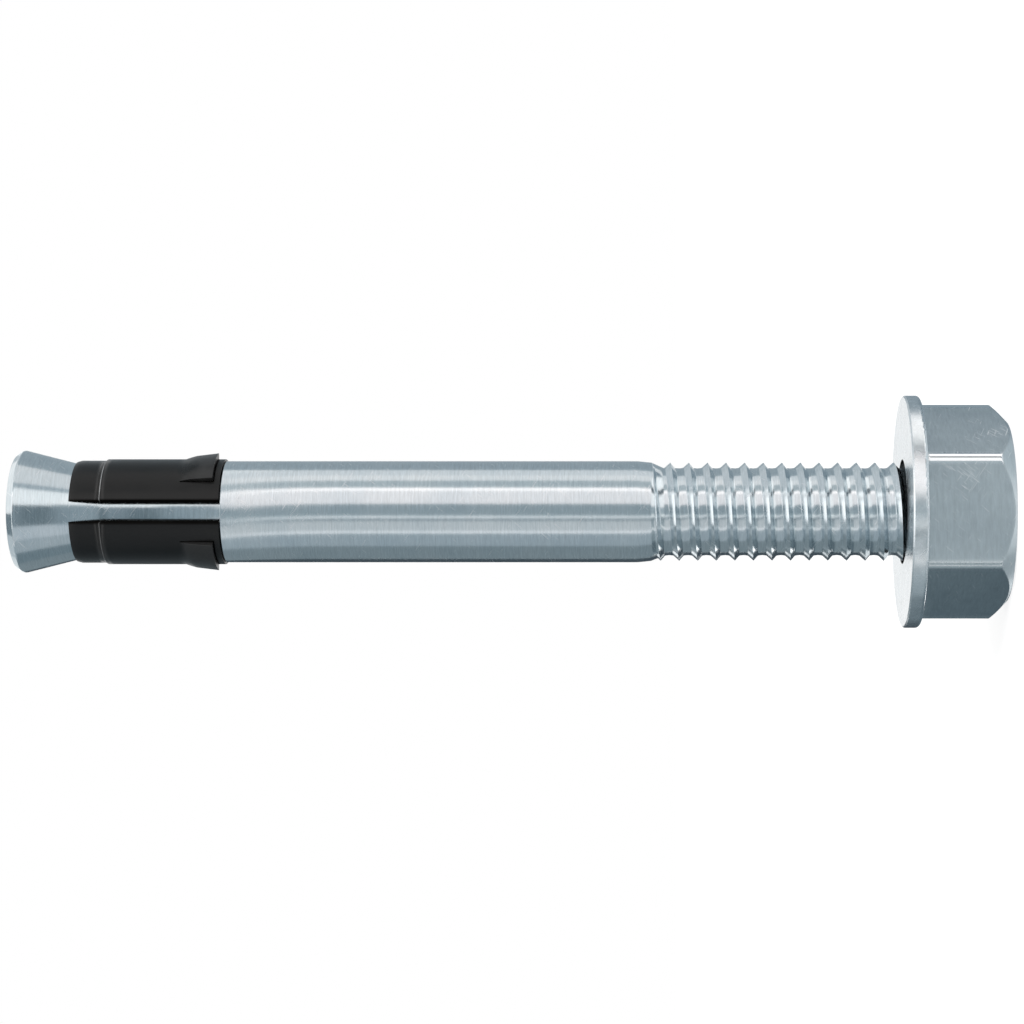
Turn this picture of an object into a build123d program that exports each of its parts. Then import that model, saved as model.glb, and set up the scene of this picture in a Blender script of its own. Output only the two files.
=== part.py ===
from build123d import *

import os
from math import cos, degrees, radians, sin, tan

# Nail anchor with a metric thread, set by hammer blows into a drilled hole.
# It stands on the flat end of its hex nut: the axis is Z, the nut's end face
# is at Z = 0 and the expansion cone is at the top. All sizes are millimetres.

# Hex nut
nut_across_flats = 10.0
nut_height = 4.7
nut_chamfer_width = 0.94
nut_chamfer_height = 0.9
nut_mouth_margin = 0.18

# Washer
washer_outer_d = 12.5
washer_bore_d = 5.6
washer_thickness = 0.85
washer_chamfer = 0.08
washer_edge_radius = 0.2

# Right-hand thread, cut shallower than a full metric form
thread_pitch = 1.0
thread_crest_d = 5.3
thread_depth = 0.31
thread_root_width = 0.36
thread_length = 18.35
thread_start_z = 0.05
thread_runout = 0.7
thread_clearance = 0.07

# Anchor bolt
bolt_length = 53.1
bolt_end_chamfer = 0.35
shank_d = 5.45
shank_taper_length = 0.75

# Expansion cone at the top of the bolt
cone_d = 6.6
cone_half_angle = 14.2
cone_edge_height = 0.37
cone_edge_width = 0.23

# Expansion sleeve, a rolled sheet-metal clip with one slit
sheet_thickness = 0.6
sleeve_proud = 0.1
sleeve_length = 7.95
sleeve_clearance = 0.05
sleeve_end_play = 0.06
slit_angle = 25.0
slit_direction = -90.0
front_length = 1.57
front_step = 0.075
lip_wall = 0.12
lip_bevel_width = 0.06
lip_bevel_height = 0.25

# Tabs lanced out of the sleeve, which stop it turning in the hole
tab_count = 3
tab_span = 50.0
tab_length = 1.77
tab_rise = 0.33
tab_bend_share = 0.27
tab_bend_rise_share = 0.53
tab_end_gap = 0.04
tab_side_gap = 0.04
end_band = 0.31

# Radii and heights that follow from the sizes above
nut_corner_r = nut_across_flats / 2 / cos(radians(30))
thread_crest_r = thread_crest_d / 2
thread_root_r = thread_crest_r - thread_depth
shank_r = shank_d / 2
sleeve_outer_r = shank_r + sleeve_proud
sleeve_bore_r = sleeve_outer_r - sheet_thickness
neck_r = sleeve_bore_r - sleeve_clearance
front_outer_r = sleeve_outer_r - front_step
lip_bore_r = front_outer_r - lip_wall
cone_slope = tan(radians(cone_half_angle))
cone_top_z = bolt_length - cone_edge_height


def cone_height(radius):
    """Height at which the expansion cone has this radius."""
    return cone_top_z - (cone_d / 2 - radius) / cone_slope


cone_root_z = cone_height(neck_r)
sleeve_top_z = cone_height(lip_bore_r - sleeve_clearance)
sleeve_bottom_z = sleeve_top_z - sleeve_length
shoulder_z = sleeve_bottom_z - sleeve_end_play
tab_end_z = sleeve_bottom_z + end_band + tab_end_gap
tab_hinge_z = tab_end_z + tab_length
washer_top_z = nut_height + washer_thickness


def turned(*outline):
    """A turned solid from its half outline, given as (radius, height) points."""
    return revolve(make_face(Plane.XZ * Polyline(*outline, close=True)), Axis.Z)


def thread_turn(root_r):
    """One turn of the thread's ridge, which is a sharp V. It starts at +X, where its crest is at
    thread_start_z, and its foot is sunk into the core that it stands on."""
    sunk_share = 0.2
    foot_r = root_r - sunk_share * thread_depth
    foot_half = (thread_pitch - thread_root_width) / 2 * (1 + sunk_share)

    def helix(radius, rise):
        return Helix(thread_pitch, thread_pitch, radius, center=(0, 0, thread_start_z + rise))

    corners = [
        helix(foot_r, -foot_half),
        helix(root_r + thread_depth, 0),
        helix(foot_r, foot_half),
    ]
    sides = [
        Face.make_surface_from_curves(one, other)
        for one, other in zip(corners, corners[1:] + corners[:1])
    ]
    ends = [Face(Wire.make_polygon([corner @ end for corner in corners])) for end in (0, 1)]
    return Solid(Shell(sides + ends))


def thread_turns(turn, low_z, high_z):
    """Copies of a turn, one pitch apart, that cover the heights from low_z to high_z."""
    first = int((low_z - thread_start_z) // thread_pitch) - 1
    last = int((high_z - thread_start_z) // thread_pitch)
    return [turn.moved(Location((0, 0, step * thread_pitch))) for step in range(first, last + 1)]


def make_anchor_bolt():
    """Threaded stud, shank, reduced neck and expansion cone, headed from one rod."""
    runout_top_z = thread_length + thread_runout
    core = turned(
        (0, 0),
        (thread_crest_r - bolt_end_chamfer, 0),
        (thread_root_r, thread_root_r - thread_crest_r + bolt_end_chamfer),
        (thread_root_r, thread_length),
        (thread_crest_r, runout_top_z),
        (shank_r, runout_top_z + shank_taper_length),
        (shank_r, shoulder_z),
        (neck_r, shoulder_z),
        (neck_r, cone_root_z),
        (cone_d / 2, cone_top_z),
        (cone_d / 2 - cone_edge_width, bolt_length),
        (0, bolt_length),
    )
    turns = thread_turns(thread_turn(thread_root_r), 0, thread_length)

    # The bolt's end face and its chamfer cut the first turns short
    over_r = thread_crest_r + thread_pitch
    end_envelope = turned(
        (0, 0),
        (thread_crest_r - bolt_end_chamfer, 0),
        (over_r, over_r - thread_crest_r + bolt_end_chamfer),
        (over_r, thread_length),
        (0, thread_length),
    )
    cut_turns = []
    for turn in turns[:3]:
        kept = turn & end_envelope
        if kept:
            cut_turns += kept.solids()
    return core + cut_turns + turns[3:]


def ring_sector(inner_r, outer_r, direction, span):
    """A flat sector of a ring, centred on a direction in degrees."""
    start = direction - span / 2
    inner = CenterArc((0, 0), inner_r, start, span)
    outer = CenterArc((0, 0), outer_r, start, span)
    return make_face([inner, outer, Line(inner @ 0, outer @ 0), Line(inner @ 1, outer @ 1)])


def make_tab(direction):
    """One tab of the sheet, flared out from its hinge line and free at its lower end."""
    stations = [(0, 0), (tab_bend_share, tab_bend_rise_share), (1, 1)]
    sections = []
    for along, out in stations:
        lift = tab_rise * out
        sheet = ring_sector(sleeve_bore_r + lift, sleeve_outer_r + lift, direction, tab_span)
        sections.append(Pos(0, 0, tab_hinge_z - tab_length * along) * sheet)
    return loft(sections, ruled=True)


def make_window(direction):
    """The opening that a tab leaves in the sleeve's wall."""
    side_gap_angle = degrees(tab_side_gap / sleeve_bore_r)
    outline = ring_sector(
        sleeve_bore_r - sheet_thickness,
        sleeve_outer_r + sheet_thickness,
        direction,
        tab_span + 2 * side_gap_angle,
    )
    window_bottom_z = sleeve_bottom_z + end_band
    return extrude(Pos(0, 0, window_bottom_z) * outline, tab_hinge_z - window_bottom_z)


def make_expansion_sleeve():
    """Sheet rolled round the neck. Its front is pressed down on the start of the cone."""
    step_z = sleeve_top_z - front_length
    outline = make_face(
        Plane.XZ
        * Polyline(
            (sleeve_bore_r, sleeve_bottom_z),
            (sleeve_outer_r, sleeve_bottom_z),
            (sleeve_outer_r, step_z - front_step),
            (front_outer_r, step_z),
            (front_outer_r, sleeve_top_z - lip_bevel_height),
            (front_outer_r - lip_bevel_width, sleeve_top_z),
            (lip_bore_r, sleeve_top_z),
            (sleeve_bore_r, cone_root_z),
            close=True,
        )
    )
    rolled = revolve(outline, Axis.Z, revolution_arc=360 - slit_angle)
    sleeve = rolled.rotate(Axis.Z, slit_direction + slit_angle / 2)
    for number in range(tab_count):
        direction = slit_direction + (number + 0.5) * 360 / tab_count
        sleeve = sleeve - make_window(direction) + make_tab(direction)
    return sleeve


def make_washer():
    """Punched ring: a sheared edge towards the wall, a rounded one towards the nut."""
    outer_r = washer_outer_d / 2
    section = make_face(
        Plane.XZ
        * Polyline(
            (washer_bore_d / 2, nut_height),
            (outer_r, nut_height),
            (outer_r, washer_top_z - washer_chamfer),
            (outer_r - washer_chamfer, washer_top_z),
            (washer_bore_d / 2, washer_top_z),
            close=True,
        )
    )
    nut_side_corner = section.vertices().group_by(Axis.X)[-1].sort_by(Axis.Z)[0]
    return revolve(fillet(nut_side_corner, washer_edge_radius), Axis.Z)


def make_hex_nut():
    """Hexagon bar, chamfered on its outer end only and threaded right through."""
    bar = extrude(RegularPolygon(nut_across_flats / 2, 6, major_radius=False), nut_height)
    chamfer_r = nut_corner_r - nut_chamfer_width
    chamfer_slope = nut_chamfer_height / nut_chamfer_width
    blank = bar & turned(
        (0, 0),
        (chamfer_r, 0),
        (chamfer_r + nut_height / chamfer_slope, nut_height),
        (0, nut_height),
    )

    bore_r = thread_root_r + thread_clearance
    turns = thread_turns(thread_turn(bore_r), 0, nut_height)
    mouth_r = thread_crest_r + thread_clearance + nut_mouth_margin
    shaft = turned(
        (0, -thread_pitch),
        (mouth_r, -thread_pitch),
        (mouth_r, 0),
        (bore_r, mouth_r - bore_r),
        (bore_r, nut_height - mouth_r + bore_r),
        (mouth_r, nut_height),
        (mouth_r, nut_height + thread_pitch),
        (0, nut_height + thread_pitch),
    )
    return blank - (shaft + turns)


os.makedirs("parts", exist_ok=True)
nodes = {
    "anchor_bolt": make_anchor_bolt(),
    "expansion_sleeve": make_expansion_sleeve(),
    "washer": make_washer(),
    "hex_nut": make_hex_nut(),
}
for name, solid in nodes.items():
    export_step(solid, f"parts/{name}.step")
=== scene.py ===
from math import ceil, cos, floor, pi, radians, sin, tan, tau

import bmesh
import bpy
from mathutils import Matrix, Vector, noise


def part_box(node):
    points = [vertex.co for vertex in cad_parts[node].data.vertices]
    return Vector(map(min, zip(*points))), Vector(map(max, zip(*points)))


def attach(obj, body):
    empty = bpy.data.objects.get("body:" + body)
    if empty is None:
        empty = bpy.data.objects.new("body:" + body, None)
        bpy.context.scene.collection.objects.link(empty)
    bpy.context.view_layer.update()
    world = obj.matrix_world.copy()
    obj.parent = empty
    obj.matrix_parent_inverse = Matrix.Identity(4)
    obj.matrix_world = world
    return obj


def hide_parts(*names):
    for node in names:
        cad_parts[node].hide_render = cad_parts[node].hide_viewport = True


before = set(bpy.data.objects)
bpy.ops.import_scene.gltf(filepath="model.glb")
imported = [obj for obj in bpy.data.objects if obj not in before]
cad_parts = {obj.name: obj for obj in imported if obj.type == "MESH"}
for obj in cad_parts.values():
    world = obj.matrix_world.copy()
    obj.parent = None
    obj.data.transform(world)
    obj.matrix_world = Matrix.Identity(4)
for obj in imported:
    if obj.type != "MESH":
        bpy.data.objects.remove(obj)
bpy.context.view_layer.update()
mm = 0.001


# Anchor bolt. One steel rod: the expansion cone is headed on its end, the neck is turned down
# for the sleeve and the thread is rolled. It is zinc plated, with fine marks that run round it.
round_steps = 192
bolt_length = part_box("anchor_bolt")[1][2]
shank_r = 2.725 * mm
shank_taper_top = 19.8 * mm
runout_bottom = 18.35 * mm
runout_top = 19.05 * mm
shoulder_z = 41.875 * mm
neck_r = 2.175 * mm
cone_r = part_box("anchor_bolt")[1][0]
cone_edge_height = 0.37 * mm
cone_edge_width = 0.23 * mm
cone_slope = tan(radians(14.2))
cone_top = bolt_length - cone_edge_height
cone_root = cone_top - (cone_r - neck_r) / cone_slope

thread_pitch = 1.0 * mm
thread_crest_r = 2.65 * mm
thread_depth = 0.31 * mm
thread_root_r = thread_crest_r - thread_depth
thread_start = 0.05 * mm
thread_upper_foot = 0.31
thread_lower_foot = 0.235
thread_root_rise = 0.1
thread_end_chamfer = 0.35 * mm
thread_wall_top = 19.2 * mm

# Rows of points from one crest to the next, as shares of the pitch: close together where it bends
upper_flank_rows = (0.0, 0.02, 0.06, 0.15, 0.25, 0.3)
root_rows = (0.32, 0.36, 0.53, 0.72)
lower_flank_rows = (0.756, 0.775, 0.82, 0.89, 0.95, 0.98)
thread_rows = upper_flank_rows + root_rows + lower_flank_rows
row_margin = 0.02 * mm


def softened(outline, usual_edge):
    """The outline with each corner between its two ends rounded off, by the usual edge or by the
    corner's own. The points next to a rounding keep the stretches between them straight."""
    rounded_share = 0.3
    straight_share = 0.15
    points = [Vector(outline[0][:2])]
    for before, corner, after in zip(outline, outline[1:], outline[2:]):
        edge = corner[2] if len(corner) > 2 else usual_edge
        here = Vector(corner[:2])
        back = Vector(before[:2]) - here
        ahead = Vector(after[:2]) - here
        start = here + back.normalized() * min(edge, rounded_share * back.length)
        end = here + ahead.normalized() * min(edge, rounded_share * ahead.length)
        points.append(start + back.normalized() * min(edge, straight_share * back.length))
        for share in (0, 0.33, 0.67, 1):
            points.append(start.lerp(here, share).lerp(here.lerp(end, share), share))
        points.append(end + ahead.normalized() * min(edge, straight_share * ahead.length))
    return points + [Vector(outline[-1][:2])]


def thread_height(angle, height):
    """How far the ridge stands over the root at this place, as a share of its full height."""
    turns = (height - thread_start) / thread_pitch - angle / tau
    over_crest = turns - floor(turns)
    if over_crest < thread_upper_foot:
        return 1 - (1 - thread_root_rise) * over_crest / thread_upper_foot
    if over_crest > 1 - thread_lower_foot:
        return 1 - (1 - thread_root_rise) * (1 - over_crest) / thread_lower_foot
    middle = (thread_upper_foot + 1 - thread_lower_foot) / 2
    return thread_root_rise * ((over_crest - middle) / (middle - thread_upper_foot)) ** 2


def bolt_thread_radius(angle, height):
    """The rolled thread, with its run-out into the shank and the chamfer on its end."""
    nicks_round, nicks_up, nick_share = 4, 1.7 / mm, 0.02
    nick_place = Vector((cos(angle) * nicks_round, sin(angle) * nicks_round, height * nicks_up))
    uneven = 1 + nick_share * noise.noise(nick_place)
    ridge = thread_root_r + thread_depth * thread_height(angle, height) * uneven
    runout = thread_root_r + thread_depth * (height - runout_bottom) / (runout_top - runout_bottom)
    taper = thread_crest_r + (shank_r - thread_crest_r) * (height - runout_top) / (
        shank_taper_top - runout_top
    )
    end_limit = thread_crest_r - thread_end_chamfer + height
    return min(max(ridge, min(runout, taper)), end_limit)


def threaded_wall(mesh, radius_at, bottom, top):
    """A wall whose rows climb with the thread. Returns its lowest and its highest ring."""
    columns = []
    for step in range(round_steps):
        angle = tau * step / round_steps
        column = {}
        turn = floor((bottom - thread_start) / thread_pitch) - 2
        while thread_start + turn * thread_pitch < top:
            for number, share in enumerate(thread_rows):
                z = thread_start + (turn + share + step / round_steps) * thread_pitch
                if bottom + row_margin < z < top - row_margin:
                    radius = radius_at(angle, z)
                    place = (radius * cos(angle), radius * sin(angle), z)
                    column[turn * len(thread_rows) + number] = mesh.verts.new(place)
            turn += 1
        columns.append(column)
    lowest, highest = (
        [
            mesh.verts.new((radius_at(a, z) * cos(a), radius_at(a, z) * sin(a), z))
            for a in (tau * step / round_steps for step in range(round_steps))
        ]
        for z in (bottom, top)
    )
    for step, here in enumerate(columns):
        after = (step + 1) % round_steps
        climb = len(thread_rows) if after == 0 else 0
        there = {row - climb: corner for row, corner in columns[after].items()}
        low = max(min(here), min(there))
        high = min(max(here), max(there))
        for row in range(low, high):
            mesh.faces.new((here[row], there[row], there[row + 1], here[row + 1]))
        mesh.faces.new(
            [lowest[step], lowest[after]]
            + [there[row] for row in range(min(there), low + 1)]
            + [here[row] for row in range(low, min(here) - 1, -1)]
        )
        mesh.faces.new(
            [here[high]]
            + [there[row] for row in range(high, max(there) + 1)]
            + [highest[after], highest[step]]
            + [here[row] for row in range(max(here), high, -1)]
        )
    return lowest, highest


def ring(mesh, radius, height):
    """A ring of corners round the axis."""
    angles = [tau * step / round_steps for step in range(round_steps)]
    return [mesh.verts.new((radius * cos(a), radius * sin(a), height)) for a in angles]


def join_rings(mesh, lower, upper):
    """A band of faces between two rings."""
    for step in range(len(lower)):
        after = (step + 1) % len(lower)
        mesh.faces.new((lower[step], lower[after], upper[after], upper[step]))


def close_ring(mesh, edge):
    """A flat end face over the ring."""
    centre = mesh.verts.new((0, 0, edge[0].co.z))
    for step in range(len(edge)):
        mesh.faces.new((edge[step - 1], edge[step], centre))


def finished_piece(name, mesh, material, sharp_angle):
    """The mesh as an object, smooth except along its sharp edges."""
    bmesh.ops.recalc_face_normals(mesh, faces=mesh.faces)
    data = bpy.data.meshes.new(name)
    mesh.to_mesh(data)
    mesh.free()
    data.shade_smooth()
    data.set_sharp_from_angle(angle=radians(sharp_angle))
    data.materials.append(material)
    piece = bpy.data.objects.new(name, data)
    bpy.context.collection.objects.link(piece)
    return piece


def add_node(tree, kind, settings=None, **values):
    """A shader node with its settings and the values of its sockets."""
    made = tree.nodes.new(f"ShaderNode{kind}")
    for name, value in (settings or {}).items():
        setattr(made, name, value)
    for name, value in values.items():
        made.inputs[name.replace("_", " ")].default_value = value
    return made


def worked_out(tree, operation, *terms):
    """The result of a sum or product of sockets and plain numbers."""
    sum_node = add_node(tree, "Math", {"operation": operation})
    for socket, term in zip(sum_node.inputs, terms):
        if isinstance(term, (int, float)):
            socket.default_value = term
        else:
            tree.links.new(term, socket)
    return sum_node.outputs["Value"]


def new_material(name):
    """An empty material, its node tree and its surface shader."""
    material = bpy.data.materials.new(name)
    material.use_nodes = True
    tree = material.node_tree
    return material, tree, tree.nodes["Principled BSDF"]


def noise_at(tree, place, **values):
    """A cloudy pattern of values round 0.5, read at this place."""
    clouds = add_node(tree, "TexNoise", **values)
    tree.links.new(place, clouds.inputs["Vector"])
    return clouds.outputs["Fac"]


def ranged(tree, value, **values):
    """The value moved from one range to another, each of them 0 to 1 unless given."""
    scale = add_node(tree, "MapRange", **values)
    tree.links.new(value, scale.inputs["Value"])
    return scale.outputs["Result"]


def mixed(tree, share, first, second):
    """A colour between the first, a colour or a socket, and the second, a colour."""
    mix = add_node(tree, "Mix", {"data_type": "RGBA"}, B=(*second, 1))
    if isinstance(first, tuple):
        mix.inputs["A"].default_value = (*first, 1)
    else:
        tree.links.new(first, mix.inputs["A"])
    tree.links.new(share, mix.inputs["Factor"])
    return mix.outputs["Result"]


def scaled(tree, colour, level):
    """The colour made lighter or darker."""
    product = add_node(tree, "VectorMath", {"operation": "SCALE"})
    tree.links.new(colour, product.inputs[0])
    tree.links.new(level, product.inputs["Scale"])
    return product.outputs["Vector"]


def relief(tree, pattern, depth, normal=None):
    """The surface's normal where the pattern raises it by up to this depth."""
    bump = add_node(tree, "Bump", Strength=1.0, Distance=depth)
    tree.links.new(pattern, bump.inputs["Height"])
    if normal:
        tree.links.new(normal, bump.inputs["Normal"])
    return bump.outputs["Normal"]


def streaks(tree, place, turn, size, wear):
    """A mask of thin scratches of this size that all lean one way, and more of them with wear."""
    lean = add_node(tree, "Mapping", {"vector_type": "TEXTURE"}, Rotation=turn, Scale=size)
    tree.links.new(place, lean.inputs["Vector"])
    drawn = noise_at(tree, lean.outputs["Vector"], Scale=1.0, Detail=1.0)
    return ranged(tree, worked_out(tree, "ADD", drawn, wear), From_Min=0.72, From_Max=0.77)


def zinc_plating(
    name, colour, dull_colour, roughness, mark_stretch, groove, unevenness, bore=0, scuffs=()
):
    """Bright zinc on steel: fine marks along one way of the surface, dull patches and scratches.

    mark_stretch gives how many marks there are in a metre along x, y and z. The wall of a hole
    with the radius bore round the axis is painted dark, as painted shade. Scuffs are places that
    are scratched more, each with its centre and its reach in mm. Where the mesh's attribute of
    wear and painted highlight is set, the zinc is lighter and glossier."""
    wear_and_highlight_colour = (0.86, 0.88, 0.89)
    rubbed_roughness = 0.12
    scratch_roughness = 0.12
    scuff_wear = 0.1
    material, tree, shader = new_material(name)
    shader.inputs["Metallic"].default_value = 1.0
    place = add_node(tree, "TexCoord").outputs["Object"]

    patches = noise_at(tree, place, Scale=380.0, Detail=5.0, Roughness=0.6)
    stretch = add_node(tree, "Mapping", Scale=mark_stretch)
    tree.links.new(place, stretch.inputs["Vector"])
    marks = noise_at(tree, stretch.outputs["Vector"], Scale=1.0, Detail=4.0, Roughness=0.7)
    wear = 0.0
    for centre, reach in scuffs:
        apart = add_node(tree, "VectorMath", {"operation": "DISTANCE"})
        tree.links.new(place, apart.inputs[0])
        apart.inputs[1].default_value = Vector(centre) * mm
        away = apart.outputs["Value"]
        scuff = ranged(tree, away, From_Min=reach * mm, From_Max=0.0, To_Max=scuff_wear)
        wear = worked_out(tree, "MAXIMUM", wear, scuff)
    scratch = worked_out(
        tree,
        "MAXIMUM",
        streaks(tree, place, (0.1, 0.6, 0.1), (1.3 * mm, 1.2 * mm, 0.045 * mm), wear),
        streaks(tree, place, (0.2, -0.9, 0.0), (0.9 * mm, 1.3 * mm, 0.04 * mm), wear),
    )
    wear_and_highlight = add_node(tree, "Attribute", {"attribute_name": "wear_and_highlight"}).outputs["Fac"]

    tone = mixed(tree, ranged(tree, patches, From_Min=0.35, From_Max=0.6), dull_colour, colour)
    lined = ranged(tree, marks, From_Min=0.3, From_Max=0.7, To_Min=0.9, To_Max=1.08)
    toned = scaled(tree, tone, lined)
    # Scratches and marked places are lighter: wear, and on the nut's +X corners also painted
    # highlight.
    finished = mixed(tree, worked_out(tree, "MAXIMUM", wear_and_highlight, scratch), toned, wear_and_highlight_colour)
    # Inside the bore the colour is darkened nearly to black: painted shade in the hole.
    if bore:
        across = add_node(tree, "VectorMath", {"operation": "MULTIPLY"})
        across.inputs[1].default_value = (1, 1, 0)
        tree.links.new(place, across.inputs[0])
        from_axis = add_node(tree, "VectorMath", {"operation": "LENGTH"})
        tree.links.new(across.outputs["Vector"], from_axis.inputs[0])
        away = from_axis.outputs["Value"]
        bore_shade = ranged(tree, away, From_Min=bore, From_Max=bore + 0.03 * mm, To_Min=0.08)
        finished = scaled(tree, finished, bore_shade)
    tree.links.new(finished, shader.inputs["Base Color"])

    gloss = ranged(
        tree, marks, From_Min=0.3, From_Max=0.7, To_Min=roughness * 0.93, To_Max=roughness * 1.1
    )
    dulled = worked_out(tree, "MULTIPLY_ADD", scratch, scratch_roughness, gloss)
    polished = worked_out(tree, "MULTIPLY_ADD", wear_and_highlight, rubbed_roughness - roughness, dulled)
    tree.links.new(polished, shader.inputs["Roughness"])

    dents = noise_at(tree, place, Scale=1300.0, Detail=3.0, Roughness=0.6)
    uneven = relief(tree, dents, unevenness)
    tree.links.new(relief(tree, marks, groove, uneven), shader.inputs["Normal"])
    return material


bolt_edge = 0.09 * mm
shoulder_edge = 0.025 * mm
cone_root_edge = 0.5 * mm
bolt_mesh = bmesh.new()
thread_bottom, thread_top = threaded_wall(bolt_mesh, bolt_thread_radius, 0.0, thread_wall_top)
close_ring(bolt_mesh, thread_bottom)
bolt_outline = [
    (bolt_thread_radius(0.0, thread_wall_top), thread_wall_top),
    (shank_r, shank_taper_top),
    (shank_r, shoulder_z, shoulder_edge),
    (neck_r, shoulder_z, shoulder_edge),
    (neck_r, cone_root, cone_root_edge),
    (cone_r, cone_top),
    (cone_r - cone_edge_width, bolt_length),
    (cone_r / 2, bolt_length),
]
last_ring = thread_top
for radius, height in softened(bolt_outline, bolt_edge)[1:]:
    next_ring = ring(bolt_mesh, radius, height)
    join_rings(bolt_mesh, last_ring, next_ring)
    last_ring = next_ring
close_ring(bolt_mesh, last_ring)

bolt_zinc = zinc_plating(
    "bolt_zinc",
    colour=(0.72, 0.775, 0.80),
    dull_colour=(0.66, 0.73, 0.765),
    roughness=0.17,
    mark_stretch=(1100.0, 1100.0, 14000.0),
    groove=0.0006 * mm,
    unevenness=0.003 * mm,
    scuffs=[((-1.2, -2.9, 52.9), 1.6), ((0.2, -2.2, 48.5), 2.2), ((0.1, -2.7, 41), 1.4)],
)
bolt = finished_piece("bolt", bolt_mesh, bolt_zinc, 35)
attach(bolt, "anchor_bolt")
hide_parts("anchor_bolt")


# Expansion sleeve. A strip of sheet steel with a satin black coat, rolled round the neck. Its
# front is pressed down on the start of the cone, and three tabs are lanced and bent outwards.
sleeve_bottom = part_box("expansion_sleeve")[0][2]
sleeve_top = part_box("expansion_sleeve")[1][2]
sleeve_outer_r = 2.825 * mm
sleeve_bore_r = 2.225 * mm
front_outer_r = 2.75 * mm
lip_outer_r = 2.69 * mm
lip_bore_r = 2.63 * mm
lip_bevel_height = 0.25 * mm
step_z = sleeve_top - 1.57 * mm
step_height = 0.075 * mm
slit_direction = -90
slit_angle = 25
tab_directions = (-30, 90, 210)
tab_span = 50
tab_side_gap = 1.03
tab_rise = 0.33 * mm
window_bottom = sleeve_bottom + 0.31 * mm
tab_end = window_bottom + 0.04 * mm
tab_hinge = tab_end + 1.77 * mm
tab_bend_share = 0.27
tab_bend_rise_share = 0.53
step_line = 0.02 * mm
longest_turn = 2.5
longest_row = 0.3 * mm
hair = 1e-9


def stations(stops, longest):
    """The stops and, between them, steps hardly longer than the longest one."""
    slack = 0.01
    places = [stops[0]]
    for before, after in zip(stops, stops[1:]):
        count = max(1, ceil((after - before) / longest - slack))
        places += [before + (after - before) * step / count for step in range(1, count + 1)]
    return places


def sleeve_radii(height):
    """The outer and inner radius of the rolled sheet at this height."""
    if height <= step_z - step_height + hair:
        outer = sleeve_outer_r
    elif height < step_z:
        outer = sleeve_outer_r - (height - step_z + step_height)
    elif height <= sleeve_top - lip_bevel_height:
        outer = front_outer_r
    else:
        share = (height - sleeve_top + lip_bevel_height) / lip_bevel_height
        outer = front_outer_r + (lip_outer_r - front_outer_r) * share * share
    share = max(0.0, (height - cone_root) / (sleeve_top - cone_root))
    return outer, sleeve_bore_r + (lip_bore_r - sleeve_bore_r) * share


def tab_lift(height):
    """How far a tab is bent out at this height: more steeply next to its hinge."""
    along = (tab_hinge - height) / (tab_hinge - tab_end)
    if along < tab_bend_share:
        return tab_rise * along / tab_bend_share * tab_bend_rise_share
    beyond_bend = (along - tab_bend_share) / (1 - tab_bend_share)
    return tab_rise * (tab_bend_rise_share + beyond_bend * (1 - tab_bend_rise_share))


angle_stops = [slit_direction + slit_angle / 2]
for direction in tab_directions:
    half = tab_span / 2
    angle_stops += [direction - half - tab_side_gap, direction - half]
    angle_stops += [direction + half, direction + half + tab_side_gap]
angle_stops.append(slit_direction + 360 - slit_angle / 2)
sleeve_angles = stations(angle_stops, longest_turn)
step_foot = step_z - step_height
sleeve_stops = [sleeve_bottom, window_bottom, tab_end, tab_hinge, cone_root]
sleeve_stops += [step_foot - step_line, step_foot, step_z, step_z + step_line]
sleeve_stops += [sleeve_top - lip_bevel_height, sleeve_top]
sleeve_heights = stations(sorted(sleeve_stops), longest_row)

sheet_patches = []
for column, (angle, next_angle) in enumerate(zip(sleeve_angles, sleeve_angles[1:])):
    from_tab = min(abs((angle + next_angle) / 2 - direction) for direction in tab_directions)
    for row, (height, next_height) in enumerate(zip(sleeve_heights, sleeve_heights[1:])):
        middle = (height + next_height) / 2
        in_window = window_bottom < middle < tab_hinge
        on_tab = tab_end < middle < tab_hinge and from_tab < tab_span / 2
        if in_window and from_tab < tab_span / 2 + tab_side_gap and not on_tab:
            continue
        corners = [(column, row), (column + 1, row), (column + 1, row + 1), (column, row + 1)]
        sheet_patches.append(
            [(c, r, on_tab and sleeve_heights[r] < tab_hinge - hair) for c, r in corners]
        )

# The coat has come off along the foot of the step: most of it next to the slit, towards +X
bare_until = radians(-30)
bare_step = 1.0
worn_step = 0.3
worn_tab = 0.03
sleeve_mesh = bmesh.new()
cut_face_shade = sleeve_mesh.verts.layers.float.new("cut_face_shade")
wear_and_highlight = sleeve_mesh.verts.layers.float.new("wear_and_highlight")
sheet_corners = {}
for corner in {corner for patch in sheet_patches for corner in patch}:
    column, row, on_tab = corner
    angle, height = radians(sleeve_angles[column]), sleeve_heights[row]
    lift = tab_lift(height) if on_tab else 0.0
    sheet_corners[corner] = [
        sleeve_mesh.verts.new(((radius + lift) * cos(angle), (radius + lift) * sin(angle), height))
        for radius in sleeve_radii(height)
    ]
    # The cut faces along the slit are marked: the coat gives them no shine, so they stay black as
    # painted shade.
    if column in (0, len(sleeve_angles) - 1):
        for sheet_corner in sheet_corners[corner]:
            sheet_corner[cut_face_shade] = 1.0
    if abs(height - step_foot) < hair:
        sheet_corners[corner][0][wear_and_highlight] = bare_step if angle < bare_until else worn_step
    if on_tab:
        sheet_corners[corner][0][wear_and_highlight] = worn_tab
sheet_edges = set()
for patch in sheet_patches:
    sleeve_mesh.faces.new([sheet_corners[corner][0] for corner in patch])
    sleeve_mesh.faces.new([sheet_corners[corner][1] for corner in reversed(patch)])
    sheet_edges.update(zip(patch, patch[1:] + patch[:1]))
for start, end in sheet_edges:
    if (end, start) not in sheet_edges:
        outer_start, inner_start = sheet_corners[start]
        outer_end, inner_end = sheet_corners[end]
        sleeve_mesh.faces.new((outer_end, outer_start, inner_start, inner_end))


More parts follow.
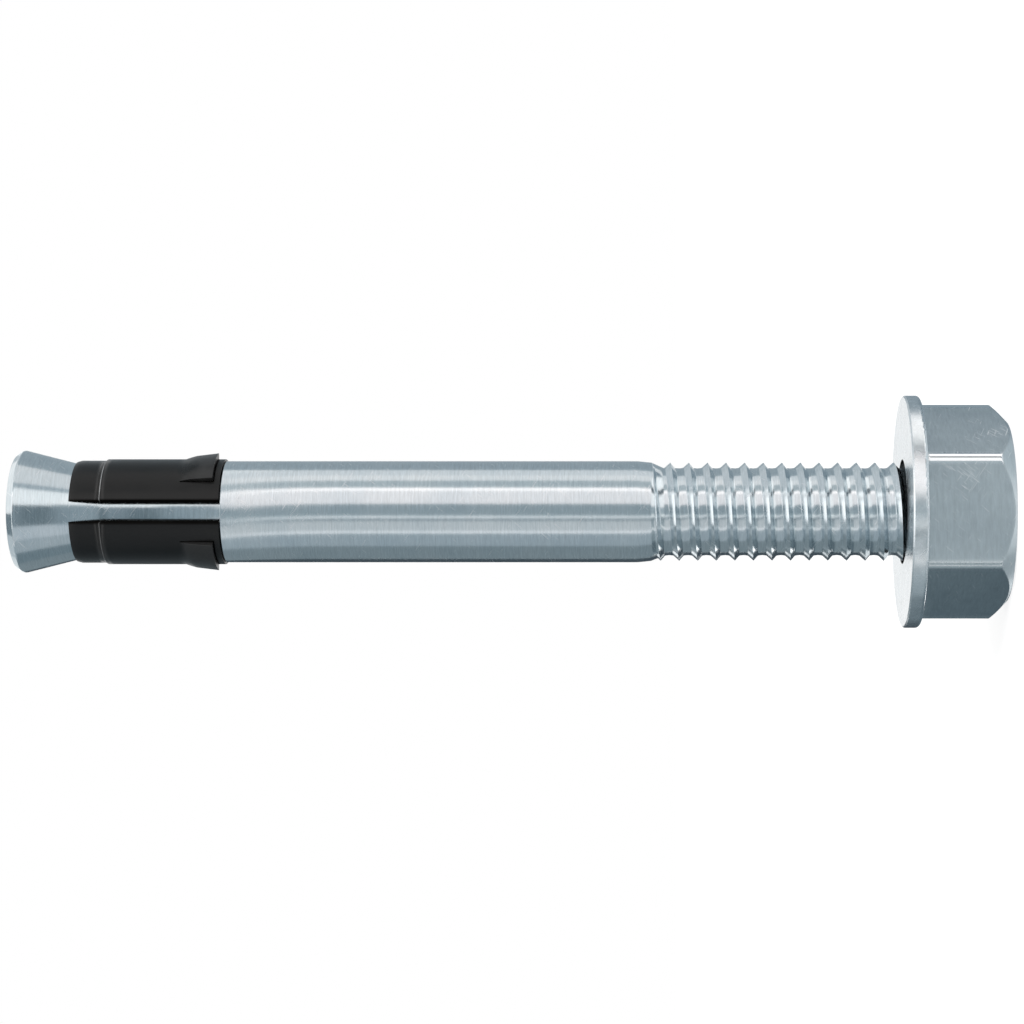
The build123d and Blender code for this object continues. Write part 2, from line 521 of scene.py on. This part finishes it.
def black_coat(name):
    """Thin satin black coat on sheet steel, with brighter metal showing through in places."""
    black = (0.0018, 0.0017, 0.0016)
    faded_black = (0.0046, 0.0043, 0.0041)
    bare_steel = (0.34, 0.345, 0.35)
    coat_specular = 0.34
    bare_metallic = 0.9
    material, tree, shader = new_material(name)
    place = add_node(tree, "TexCoord").outputs["Object"]
    grain = noise_at(tree, place, Scale=9000.0, Detail=3.0)
    cloud = noise_at(tree, place, Scale=600.0, Detail=4.0)
    gloss = ranged(tree, cloud, From_Min=0.3, From_Max=0.7, To_Min=0.27, To_Max=0.4)
    tree.links.new(gloss, shader.inputs["Roughness"])
    tree.links.new(relief(tree, grain, 0.0012 * mm), shader.inputs["Normal"])

    # The cut faces along the slit get no shine at all and stay black: painted shade.
    cut_face_shade = add_node(tree, "Attribute", {"attribute_name": "cut_face_shade"}).outputs["Fac"]
    shine = worked_out(tree, "MULTIPLY_ADD", cut_face_shade, -coat_specular, coat_specular)
    tree.links.new(shine, shader.inputs["Specular IOR Level"])
    wear_and_highlight = add_node(tree, "Attribute", {"attribute_name": "wear_and_highlight"}).outputs["Fac"]
    thin = ranged(tree, cloud, From_Min=0.3, From_Max=0.5)
    bare = worked_out(tree, "MULTIPLY", wear_and_highlight, thin)
    tree.links.new(worked_out(tree, "MULTIPLY", bare, bare_metallic), shader.inputs["Metallic"])
    tone = mixed(tree, cloud, black, faded_black)
    tree.links.new(mixed(tree, bare, tone, bare_steel), shader.inputs["Base Color"])
    return material


sleeve = finished_piece("sleeve", sleeve_mesh, black_coat("sleeve_black"), 30)
worn_edges = sleeve.modifiers.new("worn_edges", "BEVEL")
worn_edges.width = 0.03 * mm
worn_edges.segments = 2
worn_edges.limit_method = "ANGLE"
worn_edges.angle_limit = radians(40)
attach(sleeve, "expansion_sleeve")
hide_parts("expansion_sleeve")


# Washer. A plain ring punched from sheet steel and zinc plated: its rim is sheared sharp on the
# side of the cone and drawn round on the side of the nut. It keeps its CAD node.
washer_bore_r = 2.8 * mm
bore_wall = 0.01 * mm
# Its bore wall is painted dark, as painted shade in the hole round the thread.
washer_zinc = zinc_plating(
    "washer_zinc",
    colour=(0.84, 0.87, 0.885),
    dull_colour=(0.79, 0.83, 0.85),
    roughness=0.26,
    mark_stretch=(1500.0, 1500.0, 1500.0),
    groove=0.0003 * mm,
    unevenness=0.001 * mm,
    bore=washer_bore_r + bore_wall,
)
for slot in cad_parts["washer"].material_slots:
    slot.material = washer_zinc


# Hex nut. Cold formed from steel and zinc plated, chamfered on its outer end only, with a
# thread cut right through. Its corners are a little rounded and rubbed bright, and those on
# the +X side, towards the lamp, are lighter still: a painted highlight.
nut_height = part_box("hex_nut")[1][2]
nut_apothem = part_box("hex_nut")[1][1]
nut_corner_round = 0.46 * mm
nut_end_corner_round = 0.12 * mm
nut_edge_round = 0.06 * mm
nut_chamfer_r = 4.83 * mm
nut_chamfer_slope = 0.9 / 0.94
nut_clearance = 0.07 * mm
nut_bore_r = thread_root_r + nut_clearance
nut_mouth_r = thread_crest_r + nut_clearance + 0.18 * mm
end_face_width = 0.4 * mm
corner_steps = 7
corner_band_depth = 0.14 * mm
upper_corner_wear_and_highlight = 1.0
lower_corner_wear = 0.4


def nut_thread_radius(angle, height):
    """The nut's thread, with a countersunk mouth at each end."""
    groove = nut_bore_r + thread_depth * thread_height(angle, height)
    return max(groove, nut_mouth_r - height, nut_mouth_r - nut_height + height)


def arrow(turn):
    """One unit long, at this turn from +X in degrees."""
    return Vector((cos(radians(turn)), sin(radians(turn))))


def hexagon():
    """Points round the nut, one for each step, with two of its corners on the x axis."""
    points = []
    flat_steps = round_steps // 6 - corner_steps + 1

    def corner_point(corner, turn):
        rounding = nut_corner_round if corner % 3 else nut_end_corner_round
        centre = (nut_apothem - rounding) / cos(radians(30))
        return arrow(60 * corner) * centre + arrow(turn) * rounding

    for side in range(6):
        for step in range(corner_steps):
            points.append(corner_point(side, 60 * side - 30 + 60 * step / (corner_steps - 1)))
        start = points[-1]
        end = corner_point(side + 1, 60 * side + 30)
        points += [start.lerp(end, step / flat_steps) for step in range(1, flat_steps)]
    return points


nut_mesh = bmesh.new()
wear_and_highlight = nut_mesh.verts.layers.float.new("wear_and_highlight")
mouth_ring, back_ring = threaded_wall(nut_mesh, nut_thread_radius, 0.0, nut_height)
nut_columns = []
for point in hexagon():
    reach = point.length
    side_outline = [
        (nut_chamfer_r - end_face_width, 0.0),
        (nut_chamfer_r, 0.0),
        (reach, (reach - nut_chamfer_r) * nut_chamfer_slope),
        (reach, nut_height),
        (reach - end_face_width, nut_height),
    ]
    nut_columns.append(
        [
            nut_mesh.verts.new((*(point.normalized() * radius), height))
            for radius, height in softened(side_outline, nut_edge_round)
        ]
    )
nut_rings = [list(level) for level in zip(*nut_columns)]
# The outer corners are marked lighter: wear all round, and a painted highlight on the +X side.
corner_reach = nut_apothem / cos(radians(30)) - corner_band_depth
for column in nut_columns:
    for corner in column:
        if corner.co.xy.length > corner_reach:
            corner[wear_and_highlight] = upper_corner_wear_and_highlight if corner.co.x > 0 else lower_corner_wear
on_x_axis = corner_steps // 2
nut_rings = [level[on_x_axis:] + level[:on_x_axis] for level in nut_rings]
for lower, upper in zip([mouth_ring] + nut_rings, nut_rings + [back_ring]):
    join_rings(nut_mesh, lower, upper)

nut_zinc = zinc_plating(
    "nut_zinc",
    colour=(0.58, 0.64, 0.665),
    dull_colour=(0.52, 0.58, 0.61),
    roughness=0.33,
    mark_stretch=(1500.0, 1500.0, 9000.0),
    groove=0.0005 * mm,
    unevenness=0.0013 * mm,
    scuffs=[((4.2, -2.7, 1.0), 2.0), ((1.9, -5, 2.6), 1.6)],
)
nut = finished_piece("nut", nut_mesh, nut_zinc, 35)
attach(nut, "hex_nut")
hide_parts("hex_nut")


# Setting. A plain pale floor, a white room and one soft lamp. Grey cards that only reflections
# see stand round the bolt, so that the round metal mirrors them as bands along its length.
floor_half = 1.5
floor_z = -0.02 * mm
floor_mesh = bpy.data.meshes.new("floor")
floor_corners = ((-1, -1), (1, -1), (1, 1), (-1, 1))
floor_mesh.from_pydata(
    [(x * floor_half, y * floor_half, floor_z) for x, y in floor_corners], [], [(0, 1, 2, 3)]
)
ground = bpy.data.objects.new("ground", floor_mesh)
bpy.context.collection.objects.link(ground)
ground.visible_glossy = False
pale, pale_tree, unused_shader = new_material("pale_floor")
pale_tree.nodes.remove(unused_shader)
pale_lit = add_node(pale_tree, "BsdfDiffuse", Color=(0.86, 0.86, 0.86, 1))
pale_glow = add_node(pale_tree, "Emission", Color=(1, 1, 1, 1), Strength=1.17)
pale_mix = add_node(pale_tree, "MixShader")
floor_seen = add_node(pale_tree, "LightPath").outputs["Is Camera Ray"]
pale_tree.links.new(worked_out(pale_tree, "MULTIPLY", floor_seen, 0.7), pale_mix.inputs["Fac"])
pale_tree.links.new(pale_lit.outputs["BSDF"], pale_mix.inputs[1])
pale_tree.links.new(pale_glow.outputs["Emission"], pale_mix.inputs[2])
pale_output = pale_tree.nodes["Material Output"]
pale_tree.links.new(pale_mix.outputs["Shader"], pale_output.inputs["Surface"])
floor_mesh.materials.append(pale)

# The room is white where it is looked at or mirrored, and lights the part a little less
room = bpy.data.worlds.new("white_room")
bpy.context.scene.world = room
room.use_nodes = True
room_tree = room.node_tree
room_light = room_tree.nodes["Background"]
room_light.inputs["Color"].default_value = (1, 1, 1, 1)
room_rays = add_node(room_tree, "LightPath").outputs
room_seen = worked_out(
    room_tree, "MAXIMUM", room_rays["Is Camera Ray"], room_rays["Is Glossy Ray"]
)
room_shown = worked_out(room_tree, "MAXIMUM", room_seen, room_rays["Is Transmission Ray"])
room_level = ranged(room_tree, room_shown, To_Min=0.75, To_Max=1.0)
room_tree.links.new(room_level, room_light.inputs["Strength"])

# Cards round the bolt, in groups: the group's two ends, as mm from the bolt's axis and mm of
# height, and each card's first and last place round the bolt, in degrees from the camera's side
# towards +X, with how bright it looks
shadow_grey = (0.06, 0.08, 0.095)
dark_grey = (0.12, 0.16, 0.185)
middle_grey = (0.345, 0.405, 0.445)
light_grey = (0.55, 0.60, 0.63)
card_groups = {
    "nut_card": (
        ((40, -29), (40, 2.3)),
        (104, 165, (0.26, 0.325, 0.37)),
        (64, 104, (1.25, 1.24, 1.23)),
        (49, 64, (0.12, 0.15, 0.17)),
        (13, 49, (1.15, 1.14, 1.14)),
        (-6.5, 13, (0.41, 0.48, 0.52)),
        (-15, -6.5, (0.97, 1.0, 1.0)),
        (-24, -15, (0.24, 0.29, 0.32)),
        (-41, -24, (0.37, 0.43, 0.46)),
        (-48, -41, (0.98, 1.0, 1.0)),
        (-62, -48, (0.38, 0.44, 0.47)),
        (-84, -62, (0.27, 0.33, 0.36)),
        (-131, -84, dark_grey),
        (-176, -131, shadow_grey),
    ),
    "chamfer_card": (
        ((40, -88), (40, -29)),
        (10, 165, (0.64, 0.71, 0.75)),
        (-84, 10, (0.70, 0.75, 0.78)),
        (-131, -84, (0.20, 0.25, 0.28)),
        (-176, -131, (0.66, 0.72, 0.75)),
    ),
    "rod_card": (
        ((40, 2.3), (40, 75)),
        (88, 106.5, (0.79, 0.81, 0.83)),
        (74.5, 88, (0.94, 0.93, 0.93)),
        (54.5, 73, (0.48, 0.54, 0.57)),
        (47, 53.5, (1.6, 1.48, 1.45)),
        (17, 47, (1.0, 0.96, 0.965)),
        (-8.5, 17, (0.32, 0.385, 0.42)),
        (-14.5, -8.5, (0.85, 0.88, 0.90)),
        (-20.5, -14.5, (0.31, 0.36, 0.39)),
        (-42.5, -20.5, (0.60, 0.63, 0.65)),
        (-49, -42.5, (0.92, 0.93, 0.95)),
        (-82, -49, (0.365, 0.425, 0.465)),
        (-132.5, -82, (0.225, 0.275, 0.30)),
    ),
    "cone_card": (
        ((15, 45.2), (15, 55)),
        (88.5, 128, middle_grey),
        (50.5, 88.5, (0.80, 0.81, 0.82)),
        (41, 50.5, (0.40, 0.46, 0.50)),
        (11.5, 41, (1.09, 1.09, 1.09)),
        (-25.5, 11.5, (0.135, 0.18, 0.205)),
        (-50, -25.5, (0.53, 0.58, 0.62)),
        (-76, -50, (0.39, 0.445, 0.48)),
        (-103, -76, (0.18, 0.235, 0.265)),
    ),
    "neck_card": (
        ((14.5, 44), (14.5, 47.4)),
        (-28, 15, (0.29, 0.355, 0.395)),
    ),
    "neck_end_card": (
        ((14.5, 49.4), (14.5, 52)),
        (-25.5, 10, (0.27, 0.33, 0.37)),
    ),
    "rim_card": (
        ((8, 0.2), (8, 4.2)),
        (-150, -85, dark_grey),
    ),
    "spot_card": (
        ((39, -34), (39, -16)),
        (-150, -135, (2.2, 2.2, 2.2)),
    ),
    "far_card": (
        ((400, -110), (400, 130)),
        (108.5, 168, middle_grey),
        (-171.5, -136, shadow_grey),
    ),
    "far_upper_card": (
        ((400, 130), (400, 152)),
        (104, 180, light_grey),
        (-163, -132, (0.42, 0.46, 0.48)),
    ),
    "far_high_card": (
        ((400, 152), (400, 420)),
        (104, 180, light_grey),
        (-148, -126, (0.13, 0.17, 0.19)),
        (-173, -148, (1.3, 1.3, 1.3)),
    ),
    "cap_card": (
        ((6.1, 55.2), (1, 55.2)),
        (100, 180, light_grey),
        (-3, 100, (1.05, 1.05, 1.05)),
        (-38, -3, (0.20, 0.25, 0.28)),
        (-85, -38, (0.58, 0.63, 0.66)),
        (-180, -85, (0.82, 0.85, 0.86)),
    ),
}


# Beside the sleeve the cards along the rod curve off the bolt's line
curve_start = 40.5
curve_end = 49.5
curve_bend = 0.21
curve_heights = stations([curve_start, curve_end], 0.5)


def curved_turn(turn, height):
    """Where a card along the rod stands at this height, in degrees."""
    beyond = min(max(height - curve_start, 0), curve_end - curve_start)
    return turn - curve_bend * beyond * beyond


def studio_card(name, corners, faces, look):
    """A glowing grey card that only reflections see, from corners in mm."""
    data = bpy.data.meshes.new(name)
    data.from_pydata([Vector(corner) * mm for corner in corners], [], faces)
    card = bpy.data.objects.new(name, data)
    bpy.context.collection.objects.link(card)
    card.visible_camera = False
    card.visible_diffuse = False
    card.visible_shadow = False
    material, tree, shader = new_material(name)
    tree.nodes.remove(shader)
    glow = add_node(tree, "Emission", Color=(*look, 1), Strength=1.0)
    tree.links.new(glow.outputs["Emission"], tree.nodes["Material Output"].inputs["Surface"])
    data.materials.append(material)


longest_card_turn = 3
for name, ((start, end), *group) in card_groups.items():
    curved = name == "rod_card"
    rows = [start] + [(start[0], height) for height in curve_heights if curved] + [end]
    for number, (first, last, look) in enumerate(group):
        corners = []
        for turn in stations([first, last], longest_card_turn):
            for away, height in rows:
                around = radians(curved_turn(turn, height) if curved else turn)
                corners.append((away * sin(around), -away * cos(around), height))
        faces = [
            (low, low + len(rows), low + len(rows) + 1, low + 1)
            for low in range(len(corners) - len(rows))
            if (low + 1) % len(rows)
        ]
        studio_card(f"{name}_{number}", corners, faces, look)

# Flat cards beyond both ends: their reach along x and y in mm, their height and their look
for name, (left, right), (front, back), height, look in (
    ("card_above", (-24, 32), (-80, 80), 78, (1.5, 1.5, 1.5)),
    ("card_above_dim", (-80, -24), (-80, 80), 78, (0.42, 0.47, 0.50)),
    ("card_above_grey", (32, 80), (-80, 80), 78, (0.62, 0.66, 0.69)),
    ("card_over_washer", (-27, 27), (6, 60), 77.5, (0.45, 0.50, 0.53)),
    ("card_below", (-80, 80), (-80, 80), -90, (0.36, 0.42, 0.46)),
    ("card_under_nut", (-38, 38), (-9, 45), -89, (1.15, 1.18, 1.19)),
):
    outline = ((left, front), (right, front), (right, back), (left, back))
    studio_card(name, [(x, y, height) for x, y in outline], [(0, 1, 2, 3)], look)

# The lamp's face is twelve times as bright as white paper
lamp_place = Vector((240, -260, 350)) * mm
lamp_aim = Vector((0, 0, 12)) * mm
lamp_width = 330 * mm
lamp_length = 240 * mm
lamp_brightness = 12
lamp_data = bpy.data.lights.new("key_lamp", "AREA")
lamp_data.shape = "RECTANGLE"
lamp_data.size = lamp_width
lamp_data.size_y = lamp_length
lamp_data.energy = lamp_brightness * pi * lamp_width * lamp_length
lamp = bpy.data.objects.new("key_lamp", lamp_data)
lamp.location = lamp_place
lamp.rotation_euler = (lamp_aim - lamp_place).to_track_quat("-Z", "Y").to_euler()
lamp.visible_camera = False
lamp.visible_glossy = False
bpy.context.collection.objects.link(lamp)

# The camera stands level in front of the part and is rolled so that +X points up in the picture
camera_distance = 142.7 * mm
camera_height = 19.4 * mm
camera_aside = -0.016 * mm
pixels_across = 1024
focal_pixels = 2650
view_centre_pixel = 645
camera_data = bpy.data.cameras.new("camera")
camera_data.sensor_width = 36.0
camera_data.lens = focal_pixels * camera_data.sensor_width / pixels_across
camera_data.shift_x = (pixels_across / 2 - view_centre_pixel) / pixels_across
camera_data.clip_start = 5 * mm
camera = bpy.data.objects.new("camera", camera_data)
camera.matrix_world = Matrix(
    (
        (0, 1, 0, camera_aside),
        (0, 0, -1, -camera_distance),
        (-1, 0, 0, camera_height),
        (0, 0, 0, 1),
    )
)
bpy.context.collection.objects.link(camera)
bpy.context.scene.camera = camera
bpy.context.scene.view_settings.view_transform = "Standard"
